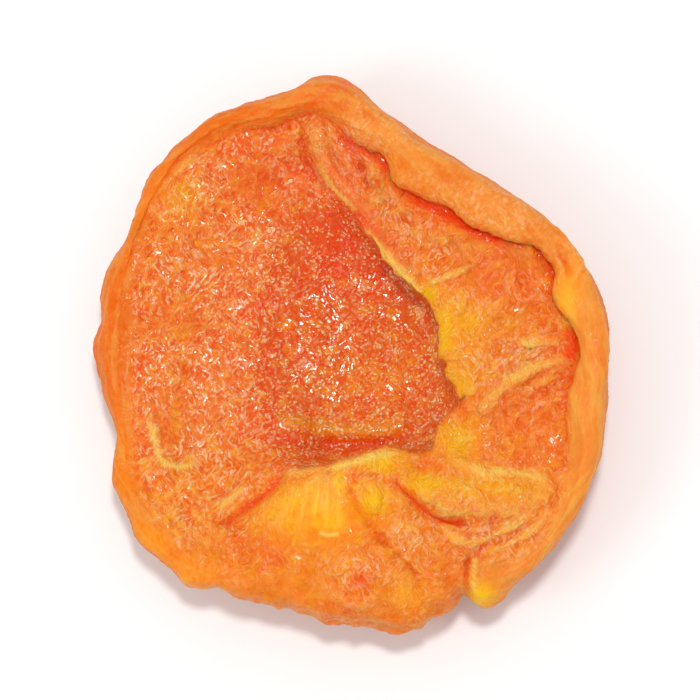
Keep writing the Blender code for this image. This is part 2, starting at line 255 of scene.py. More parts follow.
# Points, half width to the left, half width to the right, height, lean to the right.
FOLDS_MM = {
    "strand_from_the_stem": (
        ((-3.1, 19.6), (-2.9, 18.4), (-2.7, 17.2), (-1.7, 14.8), (-0.1, 12.8), (1.5, 11.0)),
        0.8, 1.2, 0.65, 0.0),
    "thread_beside_the_strand": (
        ((-1.6, 19.4), (-1.3, 17.6), (-0.4, 15.9), (0.9, 14.2)), 0.3, 0.25, 0.4, 0.0),
    "thread_down_the_strand": (
        ((-2.6, 17.4), (-1.9, 15.8), (-0.9, 14.4), (0.3, 13.2)), 0.25, 0.25, 0.3, 0.0),
    "thread_in_the_trough": (((0.8, 17.0), (1.6, 15.6), (1.9, 14.0)), 0.3, 0.25, 0.4, 0.0),
    "tie_below_the_strand": (((1.8, 10.6), (3.0, 11.6), (4.2, 11.4)), 0.3, 0.3, 0.3, 0.0),
    "tie_across_the_trough": (
        ((0.9, 11.7), (2.0, 12.6), (3.3, 13.1), (4.2, 12.8)), 0.4, 0.4, 0.45, 0.0),
    "brim_of_the_hollow": (
        ((1.0, 10.8), (2.0, 9.6), (3.4, 8.0), (4.8, 6.2), (6.1, 4.6)), 0.45, 0.3, 0.5, 0.25),
    "thread_on_the_shelf": (
        ((6.5, 5.5), (8.0, 6.0), (9.2, 6.4), (10.0, 7.0)), 0.3, 0.25, 0.4, 0.0),
    "second_thread": (
        ((13.2, 7.4), (13.4, 5.8), (12.9, 4.4), (11.9, 3.4), (11.2, 2.6)), 0.4, 0.3, 0.4, 0.0),
    "third_thread": (((13.6, 0.8), (15.0, 0.4), (16.6, 0.6), (17.6, 0.3)), 0.35, 0.3, 0.4, 0.0),
    "thread_at_the_lip_1": (((8.4, 5.2), (9.4, 4.2), (9.0, 2.8)), 0.35, 0.3, 0.35, 0.0),
    "thread_at_the_lip_2": (((10.4, -0.4), (11.6, 0.6), (12.9, 1.2)), 0.35, 0.3, 0.3, 0.0),
    "wave_by_the_flap_1": (((6.2, 11.0), (6.8, 9.6), (8.2, 8.6)), 0.4, 0.3, 0.35, 0.0),
    "wave_by_the_flap_2": (((9.0, 9.2), (9.6, 7.9), (10.9, 7.2)), 0.4, 0.3, 0.35, 0.0),
    "wave_by_the_flap_3": (((14.9, 7.2), (15.0, 5.8), (15.6, 4.6)), 0.4, 0.3, 0.3, 0.0),
    "wave_on_the_lower_shelf_1": (
        ((16.6, -4.4), (15.0, -4.8), (13.6, -5.8), (13.0, -7.2)), 0.45, 0.3, 0.35, 0.0),
    "wave_on_the_lower_shelf_2": (
        ((16.8, -6.6), (15.4, -7.2), (14.6, -8.6)), 0.45, 0.3, 0.35, 0.0),
    "ridge_over_the_shelf": (
        ((18.2, -0.7), (16.6, -1.4), (15.0, -1.9), (13.3, -2.8), (11.9, -4.2), (10.9, -5.2)),
        0.45, 0.8, 0.75, 0.0),
    "thread_below_the_ridge": (((17.4, -2.6), (15.8, -2.9), (14.2, -3.8)), 0.3, 0.3, 0.35, 0.0),
    "thread_above_the_ridge": (
        ((11.6, -1.6), (13.0, -1.0), (14.8, -0.7), (16.4, 0.0)), 0.3, 0.25, 0.35, 0.0),
    "thread_on_the_upper_shelf": (
        ((10.6, 5.4), (11.6, 6.6), (13.0, 7.2)), 0.3, 0.25, 0.35, 0.0),
    "lap_of_the_lip": (((9.4, -4.5), (10.2, -4.9), (11.6, -5.2)), 0.7, 0.4, 0.4, 0.1),
    "edge_of_the_lower_band": (
        ((16.9, -11.8), (15.0, -10.8), (13.0, -10.3), (11.2, -10.5), (9.6, -9.7), (8.0, -9.3)),
        0.8, 0.45, 0.5, 0.0),
    "lip_of_the_lower_band": (
        ((5.2, -11.2), (6.9, -12.5), (8.4, -13.3), (10.6, -13.4), (13.2, -13.5), (15.2, -13.0),
         (16.6, -12.0)), 1.1, 0.55, 0.6, 0.08),
    "first_fold_below": (
        ((7.6, -14.8), (8.9, -15.9), (10.4, -16.1), (12.0, -15.5), (13.6, -14.7), (15.0, -13.9)),
        0.4, 0.35, 0.4, 0.0),
    "fold_above_the_first": (
        ((9.9, -15.2), (11.4, -15.0), (13.2, -14.4), (14.6, -13.9)), 0.25, 0.2, 0.25, 0.0),
    "second_fold_below": (
        ((10.4, -16.8), (12.2, -16.5), (14.0, -15.8), (15.4, -14.8), (16.5, -13.4)),
        0.35, 0.3, 0.35, 0.0),
    "third_fold_below": (((10.6, -18.0), (12.2, -17.4), (13.8, -16.7)), 0.3, 0.25, 0.25, 0.0),
    "fold_across_the_hollow": (
        ((-6.4, -5.4), (-4.2, -6.2), (-1.2, -6.9), (1.8, -7.0), (4.6, -6.4)),
        1.2, 0.6, 0.6, 0.0),
    "pale_fold_by_the_bulge": (
        ((-11.6, -13.2), (-10.3, -12.4), (-9.2, -11.5), (-8.2, -10.9)), 0.4, 0.35, 0.4, 0.1),
    "vein_in_the_flesh": (
        ((-16.9, -5.0), (-16.5, -7.2), (-15.8, -9.0), (-14.4, -9.5), (-13.0, -9.3)),
        0.3, 0.3, 0.25, 0.0),
    "fold_round_the_lobe_1": (
        ((-1.4, -18.6), (-0.6, -17.6), (0.8, -17.2), (2.2, -17.8)), 0.4, 0.35, 0.3, 0.0),
    "fold_round_the_lobe_2": (
        ((-1.2, -20.0), (-0.2, -20.8), (1.4, -20.8), (2.8, -19.8)), 0.4, 0.35, 0.3, 0.0),
    "fold_round_the_lobe_3": (
        ((1.6, -16.0), (3.2, -17.6), (4.2, -19.4), (4.0, -21.4)), 0.5, 0.45, 0.3, 0.0),
    "edge_of_the_notch": (
        ((10.6, -22.0), (10.3, -20.0), (10.2, -18.4), (10.4, -17.2)), 0.25, 0.3, 0.25, 0.0),
    "curl_on_the_flap": (
        ((15.2, 9.3), (17.4, 8.6), (18.8, 7.0), (18.5, 5.6), (17.9, 4.4)), 0.35, 0.3, 0.3, 0.0),
    "roll_at_the_top": (
        ((-0.4, 20.2), (0.6, 19.2), (2.4, 18.4), (4.4, 17.0), (6.6, 15.2)), 0.6, 0.5, 0.3, 0.0),
    "crumple_by_the_bulge_1": (((0.9, -10.4), (1.9, -12.0), (1.6, -13.6)), 0.5, 0.4, 0.5, 0.0),
    "crumple_by_the_bulge_2": (((2.9, -9.9), (3.3, -11.6), (4.2, -13.2)), 0.5, 0.4, 0.4, 0.0),
    "wrinkle_at_the_margin_1": (
        ((-17.6, -11.6), (-16.2, -13.4), (-14.4, -15.0), (-12.4, -16.2)), 0.4, 0.3, 0.45, 0.1),
    "wrinkle_at_the_margin_2": (
        ((-15.8, -12.4), (-14.3, -14.0), (-12.6, -15.3), (-10.8, -16.3)), 0.4, 0.3, 0.4, 0.1),
    "wrinkle_at_the_margin_3": (
        ((-13.6, -12.9), (-12.2, -14.2), (-10.6, -15.2)), 0.4, 0.3, 0.35, 0.0),
}
CREASES_MM = {
    "crease_left_of_the_strand": (
        ((-4.0, 19.4), (-3.9, 17.4), (-3.3, 15.4), (-1.9, 13.6)), 0.6, 0.5, -0.7, 0.0),
    "crease_under_the_lower_band": (
        ((3.4, -10.9), (5.1, -12.4), (6.6, -13.7), (8.2, -14.5), (9.6, -14.4)),
        0.4, 0.6, -0.5, 0.0),
    "crease_between_the_lower_folds": (
        ((9.6, -16.9), (11.4, -16.3), (13.2, -15.6), (15.0, -14.5)), 0.3, 0.3, -0.2, 0.0),
    "crease_from_the_notch": (
        ((10.0, -23.0), (9.7, -21.0), (9.6, -19.4), (9.6, -18.0), (9.8, -16.8)),
        0.3, 0.3, -0.5, 0.0),
    "arc_round_the_bulge_and_lobe": (
        ((-0.3, -10.2), (0.1, -12.0), (1.5, -14.4), (3.1, -16.3), (4.6, -17.9), (5.6, -19.4),
         (5.9, -21.7)), 0.45, 0.35, -0.35, 0.0),
    "crease_inside_the_margin": (
        ((-17.4, -10.2), (-16.4, -12.6), (-14.6, -14.6), (-12.4, -16.2), (-10.4, -17.0)),
        0.4, 0.4, -0.2, 0.0),
    "crease_left_of_the_bulge": (
        ((-5.6, -10.0), (-6.7, -11.7), (-8.2, -12.8), (-9.4, -13.6), (-11.0, -14.6)),
        0.6, 0.4, -0.6, 0.0),
    "crease_under_the_hollow_fold": (
        ((-6.1, -7.6), (-3.6, -7.9), (-0.4, -8.0), (2.8, -7.9), (4.8, -7.4)), 0.5, 0.5, -0.4, 0.0),
    "crease_inside_the_curl": (
        ((16.8, 7.8), (17.8, 6.9), (17.9, 5.6)), 0.3, 0.3, -0.35, 0.0),
    "crease_right_of_the_strand": (
        ((-0.8, 18.6), (0.2, 16.8), (1.2, 15.0), (1.8, 13.4)), 0.4, 0.4, -0.35, 0.0),
    "crease_at_the_lap": (((8.6, -4.4), (9.9, -4.1), (11.2, -4.9)), 0.5, 0.5, -0.35, 0.0),
    "edge_of_the_top_roll": (
        ((-5.1, 19.6), (-3.7, 20.5), (-2.3, 21.6), (-0.6, 22.5), (0.9, 23.0)), 0.5, 0.4, -0.3, 0.0),
}
# Thin pleats that fan out down the bulge from its lip, each a little higher or lower.
BULGE_PLEATS = 6
for k in range(BULGE_PLEATS):
    FOLDS_MM[f"pleat_in_the_bulge_{k}"] = (
        ((-5.0 + 0.8 * k, -10.6), (-5.5 + 0.9 * k, -12.4), (-6.5 + 1.15 * k, -14.8)),
        0.22, 0.2, 0.17 + 0.1 * math.sin(2.3 * k), 0.0)
CURVE_STEPS = 6


def curve(points):
    """The smooth path through its points: between two of them the Catmull-Rom cubic."""
    knots = np.array([points[0], *points, points[-1]], float)
    before, start = knots[:-3, None], knots[1:-2, None]
    end, after = knots[2:-1, None], knots[3:, None]
    t = (np.arange(CURVE_STEPS) / CURVE_STEPS)[None, :, None]
    path = 0.5 * (
        2 * start + (end - before) * t + (2 * before - 5 * start + 4 * end - after) * t ** 2
        + (3 * start - before - 3 * end + after) * t ** 3
    )
    return np.concatenate([path.reshape(-1, 2), knots[-1:]])


def beside(places, points):
    """How far each plan place is from a path, above 0 on its left, where along it from
    0 to 1, and the unit direction to the path's right there."""
    path = curve(points)
    nearest = np.full(places.shape[:-1], np.inf)
    side = np.zeros_like(nearest)
    along_share = np.zeros_like(nearest)
    right = np.zeros_like(places)
    for k, (start, end) in enumerate(zip(path[:-1], path[1:])):
        along = end - start
        gap = places - start
        share = np.clip(gap @ along / (along @ along), 0, 1)
        distance = np.linalg.norm(gap - share[..., None] * along, axis=-1)
        closer = distance < nearest
        nearest[closer] = distance[closer]
        side[closer] = np.sign(along[0] * gap[..., 1] - along[1] * gap[..., 0])[closer]
        along_share[closer] = ((k + share) / (len(path) - 1))[closer]
        right[closer] = np.array([along[1], -along[0]]) / np.linalg.norm(along)
    return nearest * np.where(side < 0, -1, 1), along_share, right


END_FADES = 4.5


def bell(places, fold_line):
    """A fold's share of its height at each place, and the direction to its right: a bell
    across it, fading over a part of its length at either end, one in END_FADES."""
    points, left, right_width = fold_line[:3]
    distance, share, right = beside(places, points)
    across = distance / np.where(distance > 0, left, right_width)
    fade = np.clip(END_FADES * share, 0, 1) * np.clip(END_FADES * (1 - share), 0, 1)
    return np.exp(-across ** 2) * np.sqrt(fade), right


# How much painted highlight a fold takes for each millimetre that it rises, and painted shade for
# each that it sinks.
FOLD_SHADING_PER_MM = 1.4
top = half[:TOP_ROWS + 1]
for centre, radii, height in SWELLINGS_MM.values():
    off = (plan[:TOP_ROWS + 1] - centre) / radii
    top[..., 2] += height * np.exp(-(off ** 2).sum(axis=-1))
fold_light_and_shade = np.zeros(half.shape[:2])
for fold_line in (*FOLDS_MM.values(), *CREASES_MM.values()):
    height, lean_over = fold_line[3:]
    share, right = bell(plan[:TOP_ROWS + 1], fold_line)
    top[..., 2] += height * share
    top[..., :2] += lean_over * share[..., None] * right
    fold_light_and_shade[:TOP_ROWS + 1] += np.sign(height) * min(1, abs(height) * FOLD_SHADING_PER_MM) * share

# The grain of the flesh and skin: the sugar-dry flesh is wrinkled finely all over, the
# hollow is pitted where the stone clung, and the skin is drawn into soft puckers that
# run down the half's side, with fine lines along the smooth right-hand wall.
HALF_LENGTH_MM = 23.5
SMOOTH_SKIN_DEG = 20.0
# The lower margin is a thin edge: the flesh reaches further out on it.
THIN_EDGE_DEG = 268.0
# Where the bulge's skin is stretched and hardly wrinkled: its centre and two radii.
TAUT_CENTRE_MM = (-2.6, -13.6)
TAUT_RADII_MM = (4.6, 3.4)
# Puckers as (how many go round the half, where they start, depth), and the scallops of
# the margin as (pitch, depth, seed).
PUCKERS_MM = ((9, 0.4, 0.14), (16, 1.9, 0.13), (25, 0.8, 0.12))
SCALLOPS_MM = ((3.6, 0.20, 71), (1.9, 0.34, 72), (1.0, 0.18, 73))
SCALLOPED_RADIUS_MM = 21.0
CONTOUR_RADIUS_MM = 7.0
PLEAT_SHARE = 0.8
# The pitch of each kind of wrinkle. A pair of depths runs from the smooth flesh to the
# rough, or from the wrinkled skin to the smooth. A bare number that a relief is
# multiplied by is its depth in mm.
FINE_PITCH_MM = 1.15
FINE_MM = (0.08, 0.15)
FINER_PITCH_MM = 0.62
FINER_MM = (0.05, 0.09)
BROAD_PITCH_MM = 3.2
BROAD_MM = (0.28, 0.20)
CRUMPLE_PITCH_MM = 2.7
CRUMPLE_MM = (0.34, 0.10)
PIT_PITCH_MM = 1.1
RAGGED_PITCH_MM = 1.7
RAGGED_MM = 0.3
NET_PITCH_MM = 3.4
NET_MM = (0.16, 0.08)
DRAPE_PITCH_MM = 4.4
DRAPE_MM = (0.34, 0.06)
CONTOUR_PITCH_MM = 2.4
CONTOUR_MM = (0.15, 0.06)
UNDER_SIDE_PITCH_MM = 6.0


def grain(points, pitch, seed):
    """Smooth random relief from about -1 to 1 that repeats nowhere in the half: at each
    corner of cubes of the pitch a seeded slope, and between corners their planes, blended
    and then made 1.6 times as high."""
    random = np.random.default_rng(seed)
    slopes = random.normal(size=(256, 3))
    slopes /= np.linalg.norm(slopes, axis=1)[:, None]
    order = random.permutation(256)
    cell = points / pitch
    low = np.floor(cell).astype(int)
    inside = cell - low
    blend = inside ** 3 * (inside * (6 * inside - 15) + 10)
    total = np.zeros(points.shape[:-1])
    for corner in np.ndindex(2, 2, 2):
        x, y, z = np.moveaxis(low + corner, -1, 0)
        slope = slopes[order[(order[(order[x & 255] + y) & 255] + z) & 255]]
        plane = (slope * (inside - corner)).sum(axis=-1)
        total += plane * np.where(np.array(corner) == 1, blend, 1 - blend).prod(axis=-1)
    return 1.6 * total


def wrinkles(points, pitch, seed):
    """Narrow ridges round soft cells: 1 less twice the size of a grain bent by a coarser one."""
    bent = points + 0.55 * pitch * np.stack(
        [grain(points, 1.9 * pitch, seed + k) for k in (1, 2, 3)], axis=-1)
    return 1 - 2 * np.clip(np.abs(grain(bent, pitch, seed)), 0, 1) ** 0.8


def normals(grid):
    """The outward unit normal at each point: the two grid directions' cross product."""
    down = np.gradient(grid, axis=0)
    wrapped = np.concatenate([grid[:, -1:], grid, grid[:, :1]], axis=1)
    across = (wrapped[:, 2:] - wrapped[:, :-2]) / 2
    normal = np.cross(down, across)
    return normal / (np.linalg.norm(normal, axis=-1, keepdims=True) + 1e-12)


in_hollow = mix(1 - ramp(station, 3.0, 6.4), 1 - ramp(station, 3.3, 4.1), steep)
thin_edge = ramp(np.cos(angles - math.radians(THIN_EDGE_DEG)), 0.75, 0.92)
on_skin = ramp(station, 12.0 + 1.3 * thin_edge, 14.2 + 0.5 * thin_edge)
on_rim = np.maximum(
    mix(ramp(station, 7.4, 10.4), ramp(station, 8.5, 9.1), fold) * (1 - 0.55 * thin_edge), on_skin)
on_flesh = (1 - in_hollow) * (1 - on_rim)
rough_side = ramp(-plan[..., 0], -4.5, 1.5) * ramp(plan[..., 1] - 0.4 * plan[..., 0], -13.0, -9.0)
taut = np.exp(-(((plan - TAUT_CENTRE_MM) / TAUT_RADII_MM) ** 2).sum(axis=-1))
on_loose = on_flesh * (1 - 0.75 * taut)
fine = wrinkles(half, FINE_PITCH_MM, 11)
finer = wrinkles(half, FINER_PITCH_MM, 21)
broad = grain(half, BROAD_PITCH_MM, 31)
pitted = grain(half, PIT_PITCH_MM, 41)
crumpled = wrinkles(half, CRUMPLE_PITCH_MM, 61)
at_the_lip = np.exp(-((station - 4.3) / 0.7) ** 2)
ragged_lip = steep * at_the_lip * grain(half, RAGGED_PITCH_MM, 111)
relief = (
    RAGGED_MM * ragged_lip
    + on_loose * mix(*FINE_MM, rough_side) * fine
    + on_loose * mix(*FINER_MM, rough_side) * finer
    + on_loose * (mix(*CRUMPLE_MM, rough_side) * crumpled + mix(*BROAD_MM, rough_side) * broad)
    + in_hollow * (0.08 * pitted + 0.20 * broad + 0.05 * finer)
    + on_rim * (1 - on_skin) * (0.16 * broad + 0.09 * fine + 0.05 * finer)
)
fade_to_flat = 1 - ramp(station, 16.4, 18.0)
smooth_side = ramp(np.cos(angles - math.radians(SMOOTH_SKIN_DEG)), 0.1, 0.9)
under_side = ramp(station, 14.2, 15.6)
# How far a point lies down the section, for wrinkles that run round the half.
arc = np.zeros(half.shape[:2])
arc[1:] = np.cumsum(np.linalg.norm(np.diff(line, axis=0), axis=-1), axis=0)
round_the_half = np.stack(
    [CONTOUR_RADIUS_MM * np.cos(angles) + 0 * arc, CONTOUR_RADIUS_MM * np.sin(angles) + 0 * arc,
     arc], axis=-1)
net = wrinkles(half * (1, 1, 0.6), NET_PITCH_MM, 51)
at_the_widest = np.exp(-((station - 13.8) / 1.2) ** 2)
contour = wrinkles(round_the_half, CONTOUR_PITCH_MM, 81)
drape = wrinkles(half * (1, 1, 0.25), DRAPE_PITCH_MM, 101)
puckered = (
    mix(*NET_MM, at_the_widest) * net + 0.05 * finer + 0.12 * broad
    + mix(*DRAPE_MM, smooth_side) * (1 - 0.6 * at_the_widest) * drape
    + mix(*CONTOUR_MM, smooth_side) * contour
    + under_side * (0.20 * crumpled + 0.30 * grain(half, UNDER_SIDE_PITCH_MM, 91))
)
# The skin's wrinkles rise and sink evenly about its smooth section.
puckered -= (puckered * on_skin).sum() / on_skin.sum()
relief += on_skin * fade_to_flat * puckered

# The puckers and scallops draw the side in and out, from the rim's crest to the foot.
first, last = sum(ROWS[:11]), sum(ROWS[:-2])
rows = np.arange(len(half))[:, None]
side_fade = np.sin(math.pi * np.clip((rows - first) / (last - first), 0, 1))
drawn = 0.5 - 0.5 * np.cos(angles - math.radians(SMOOTH_SKIN_DEG))
pucker = drawn * sum(d * np.cos(n * angles + start) for n, start, d in PUCKERS_MM)
round_the_edge = np.stack(
    [SCALLOPED_RADIUS_MM * np.cos(angles), SCALLOPED_RADIUS_MM * np.sin(angles), 0 * angles],
    axis=-1)
scallop = mix(0.1 + 0.4 * drawn, 0.8, thin_edge) * sum(
    d * grain(round_the_edge, pitch, seed) for pitch, d, seed in SCALLOPS_MM)
pleated = thin_edge * ramp(station, 8.5, 11.5) * (1 - on_skin)
relief -= pleated * PLEAT_SHARE * scallop
off_the_poles = (station > 0.01) * (station < 18)
half += normals(half) * (relief * off_the_poles)[..., None]
half[..., :2] *= 1 - (side_fade * (pucker + scallop) / HALF_LENGTH_MM)[..., None]
half[0] = half[0].mean(axis=0)
half[flat_row:, :, 2] = 0

# How the half lies and becomes a mesh: the higher it is, the further it leans to the
# lower right. One point closes each pole and the rest is a ring of quads for each row.
LEAN = 0.2
LEAN_TOWARDS_DEG = -55.0
MM = 0.001


def ball_faces(rings, spokes):
    """Fans at both poles and quads between: point 0, then ring after ring, then the last."""
    spoke = np.arange(spokes)
    beyond = (spoke + 1) % spokes
    ring = 1 + spokes * np.arange(rings - 2)[:, None]
    quads = np.stack(
        [ring + spoke, ring + spokes + spoke, ring + spokes + beyond, ring + beyond], axis=-1)
    bottom = 1 + spokes * (rings - 2)
    last_point = bottom + spokes
    first_fan = np.stack([0 * spoke, 1 + spoke, 1 + beyond], axis=-1)
    last_fan = np.stack([last_point + 0 * spoke, bottom + beyond, bottom + spoke], axis=-1)
    return first_fan.tolist() + quads.reshape(-1, 4).tolist() + last_fan.tolist()


def per_point(values):
    """A value for each grid point as one for each mesh point: a pole keeps its first."""
    rings = values[1:-1].reshape(-1, *values.shape[2:])
    return np.concatenate([values[0, :1], rings, values[-1, :1]])


towards = math.radians(LEAN_TOWARDS_DEG)
half[..., 0] += LEAN * math.cos(towards) * half[..., 2]
half[..., 1] += LEAN * math.sin(towards) * half[..., 2]
mesh = bpy.data.meshes.new("dried_apricot_half")
mesh.from_pydata((per_point(half) * MM).tolist(), [], ball_faces(len(half) - 1, SPOKES))
mesh.shade_smooth()
apricot = bpy.data.objects.new("dried_apricot_half", mesh)
bpy.context.scene.collection.objects.link(apricot)

# The colours of the half: red-orange where the flesh is deep and wet, pale orange on
# the rolled skin, and yellow and cream where pulp and veins have dried on the surface,
# with painted shade in creases and under the rolled rim and painted highlights and glints.
# A spot is (centre, its two radii, strength).
YELLOW_SPOTS_MM = (
    ((-1.7, -14.1), (2.4, 1.3), 0.75), ((-1.0, -11.0), (0.8, 1.6), 0.8),
    ((-3.2, -12.8), (3.6, 2.6), 0.65), ((1.9, -12.6), (1.3, 1.6), 0.9),
    ((2.4, -9.4), (2.2, 0.9), 0.8), ((7.9, 1.6), (1.0, 3.0), 0.8),
    ((6.6, 4.6), (0.9, 1.1), 0.9), ((9.0, -2.6), (1.4, 1.8), 0.7),
    ((8.9, -7.6), (1.6, 1.9), 0.7), ((10.7, -20.5), (1.2, 1.2), 0.95),
    ((8.8, 2.4), (2.0, 2.2), 0.5), ((6.2, -11.2), (1.8, 1.0), 0.8),
    ((-0.2, -14.0), (0.7, 1.8), 0.5), ((9.4, -11.6), (2.4, 1.0), 0.5),
    ((4.8, -20.2), (1.8, 1.4), 0.4), ((11.6, -11.6), (4.6, 1.2), 0.5),
    ((-14.2, 13.8), (1.6, 1.6), 0.4), ((17.9, 4.0), (1.0, 2.2), 0.5),
)
# Lines drawn in one tint: points, half width, strength. Most are cream pulp and veins; the short
# one under the bulge is a painted highlight.
CREAM_AND_HIGHLIGHT_LINES_MM = (
    (((1.3, 10.4), (2.6, 8.9), (3.9, 7.3), (5.0, 5.9), (6.0, 4.8)), 0.24, 1.0),
    (((-1.8, -9.7), (-0.6, -9.5), (0.8, -9.1), (2.4, -8.8), (4.1, -8.5)), 0.35, 0.9),
    (((-5.7, -10.2), (-4.2, -10.1), (-2.6, -9.9), (-1.4, -9.6)), 0.25, 0.5),
    (((-1.9, -10.2), (-2.1, -12.0), (-2.3, -13.6)), 1.1, 0.3),
    (((-3.4, -10.6), (-3.7, -12.2), (-4.1, -13.8)), 0.2, 0.35),
    (((-4.6, -10.8), (-5.1, -12.6), (-5.9, -14.4)), 0.2, 0.3),
    # A painted highlight along the bulge's lower edge.
    (((-2.6, -15.0), (-1.8, -15.3), (-0.9, -15.1)), 0.16, 0.9),
    (((10.2, -20.2), (10.1, -18.8), (10.2, -17.4)), 0.16, 0.7),
    (((8.6, -7.4), (9.4, -7.6), (10.2, -7.4)), 0.2, 0.6),
    (((16.2, -11.2), (14.9, -10.6), (13.0, -10.3), (11.2, -10.5), (9.8, -9.8)), 0.28, 0.8),
    (((5.4, -11.6), (7.0, -12.9), (8.6, -13.6), (10.8, -13.6)), 0.2, 0.5),
    (((7.4, -14.9), (8.9, -15.9), (10.4, -16.1), (12.0, -15.6), (13.6, -14.6), (15.4, -13.1)),
     0.22, 0.4),
    (((10.6, -17.2), (12.2, -16.7), (14.0, -15.8), (15.4, -14.8), (16.5, -13.4)), 0.2, 0.3),
    (((6.5, 5.5), (8.0, 6.0), (9.2, 6.4), (10.0, 7.0)), 0.14, 0.6),
    (((14.0, 0.5), (15.6, 0.3), (17.2, 0.4)), 0.22, 0.5),
    (((12.6, -2.9), (14.6, -2.0), (16.8, -1.2)), 0.25, 0.4),
    (((-16.9, -5.0), (-16.5, -7.2), (-15.8, -9.0), (-14.4, -9.5), (-13.0, -9.3)), 0.19, 1.0),
    (((-18.0, -9.2), (-17.0, -8.8), (-16.0, -8.8)), 0.16, 0.6),
    (((-11.0, -12.8), (-10.0, -12.1), (-9.0, -11.3)), 0.28, 0.6),
    (((-2.6, 16.4), (-1.8, 14.6), (-0.6, 13.1), (0.6, 11.8)), 0.2, 0.6),
    (((-14.9, 15.2), (-13.9, 16.3), (-12.9, 17.0)), 0.3, 0.6),
)
# Painted shade: red lines in the creases, under the rolled rim's edge and inside the hollow's top
# lip: points, half width, strength.
SHADE_RED_LINES_MM = (
    (((3.4, -10.9), (5.1, -12.4), (6.6, -13.7), (8.2, -14.5), (9.6, -14.4)), 0.32, 0.9),
    (((-6.1, -7.4), (-3.6, -7.8), (-0.4, -8.0), (2.8, -7.9), (4.8, -7.4)), 0.45, 0.8),
    (((-1.2, 18.4), (0.8, 17.2), (2.6, 16.2), (3.3, 14.4)), 0.5, 0.9),
    (((3.9, 13.8), (6.0, 12.3), (8.2, 11.3), (9.6, 10.2), (11.8, 9.3), (15.0, 8.5)), 0.6, 1.0),
    (((15.0, 8.5), (16.3, 7.2), (16.8, 5.6), (17.0, 4.0)), 0.5, 0.9),
    (((17.8, 1.6), (18.5, 0.2), (17.8, -1.2)), 0.7, 0.9),
    (((-1.9, 13.0), (-0.6, 12.4), (0.8, 10.8), (2.4, 8.6), (4.2, 6.2)), 1.1, 0.8),
    (((7.2, -5.8), (8.2, -5.0), (9.8, -4.4)), 0.6, 0.8),
    (((-5.6, -9.6), (-6.3, -11.0), (-7.2, -12.0), (-8.4, -12.7), (-9.4, -13.3)), 0.35, 0.7),
)
TAN_LINE_MM = (((-6.4, -5.2), (-4.2, -6.0), (-1.2, -6.7), (1.8, -6.8), (4.6, -6.2)), 0.6, 0.85)
# Deeper red spots of the flesh, and painted shade in the hollow under its top lip.
RED_AND_SHADE_SPOTS_MM = (
    ((0.9, -19.1), (0.7, 0.6), 0.8), ((-1.5, 14.5), (2.6, 3.4), 0.45),
    ((-6.5, 15.5), (3.4, 2.4), 0.3), ((12.4, 6.0), (4.0, 2.0), 0.35),
    ((14.6, -6.4), (2.4, 2.6), 0.3), ((-0.8, 10.0), (2.6, 3.4), 0.85),
)
# Where the dried skin of the pulp has gone pale in threads, with painted pink-white highlights over
# them.
PALE_THREAD_AND_HIGHLIGHT_SPOTS_MM = (
    ((4.6, 8.6), (1.1, 2.4), 0.9), ((7.4, 7.4), (1.6, 1.4), 0.8),
    ((9.4, 3.9), (2.0, 1.2), 0.7), ((13.6, -0.6), (2.4, 1.2), 0.8),
    ((10.0, -1.5), (1.8, 2.2), 0.6), ((15.2, -5.6), (0.9, 1.8), 0.7),
    ((9.8, -11.7), (2.4, 1.0), 0.7), ((0.2, 16.0), (1.4, 2.4), 0.9),
    ((5.4, -15.4), (2.4, 2.2), 0.6), ((0.9, -18.6), (2.4, 1.6), 0.6),
    ((12.6, -15.6), (3.0, 1.6), 0.7), ((2.6, 12.0), (1.4, 1.2), 0.8),
    ((13.0, 5.4), (1.6, 1.4), 0.5), ((-2.4, 15.4), (1.4, 3.0), 0.5),
)
# Where the flesh has a yellower cast over a wide patch.
GOLDEN_SPOTS_MM = (
    ((-13.4, -12.0), (4.6, 4.2), 0.85), ((2.6, -3.2), (4.4, 3.2), 0.6),
    ((-3.2, -17.6), (6.0, 3.0), 0.45), ((-6.0, -13.4), (3.4, 2.4), 0.9),
    ((9.4, -9.8), (2.8, 1.8), 0.6), ((4.6, -14.6), (3.6, 3.0), 0.5),
    ((-16.0, 12.0), (2.2, 4.0), 0.35), ((-19.0, -9.4), (1.6, 5.0), 0.5),
    ((-16.6, -15.8), (2.8, 2.6), 0.9), ((-13.4, -18.4), (5.0, 2.6), 0.8),
    ((13.0, -14.2), (4.6, 2.4), 0.4), ((18.6, 4.4), (1.6, 2.6), 0.5),
    ((5.0, 15.6), (3.2, 2.0), 0.25), ((9.8, 1.0), (2.8, 4.6), 0.65),
    ((-1.8, 14.6), (1.2, 4.0), 0.4), ((12.4, 3.6), (3.6, 4.0), 0.35),
    ((13.8, -7.0), (2.8, 2.8), 0.35),
)


def spots(places, stains):
    """The deepest of the round stains at each place: each a bell of its two radii."""
    shades = [s * np.exp(-(((places - c) / r) ** 2).sum(axis=-1)) for c, r, s in stains]
    return np.max(shades, axis=0)


def lines(places, drawn_lines):
    """The deepest of the drawn lines at each place: each a bell across, faded at its ends."""
    return np.max([s * bell(places, (points, w, w))[0] for points, w, s in drawn_lines], axis=0)


def paint(name, values):
    """Keeps a value for each grid point, held within -1 to 1, on the mesh for the material."""
    attribute = mesh.attributes.new(name, "FLOAT", "POINT")
    attribute.data.foreach_set("value", per_point(np.clip(values, -1, 1)).astype(np.float32))


LINED_SKIN_DEG = -24.0
# Arc lengths are painted as shares of this one.
ARC_SPAN_MM = 100.0
on_top = 1 - ramp(station, 12.5 + thin_edge, 14.0 + 0.5 * thin_edge)
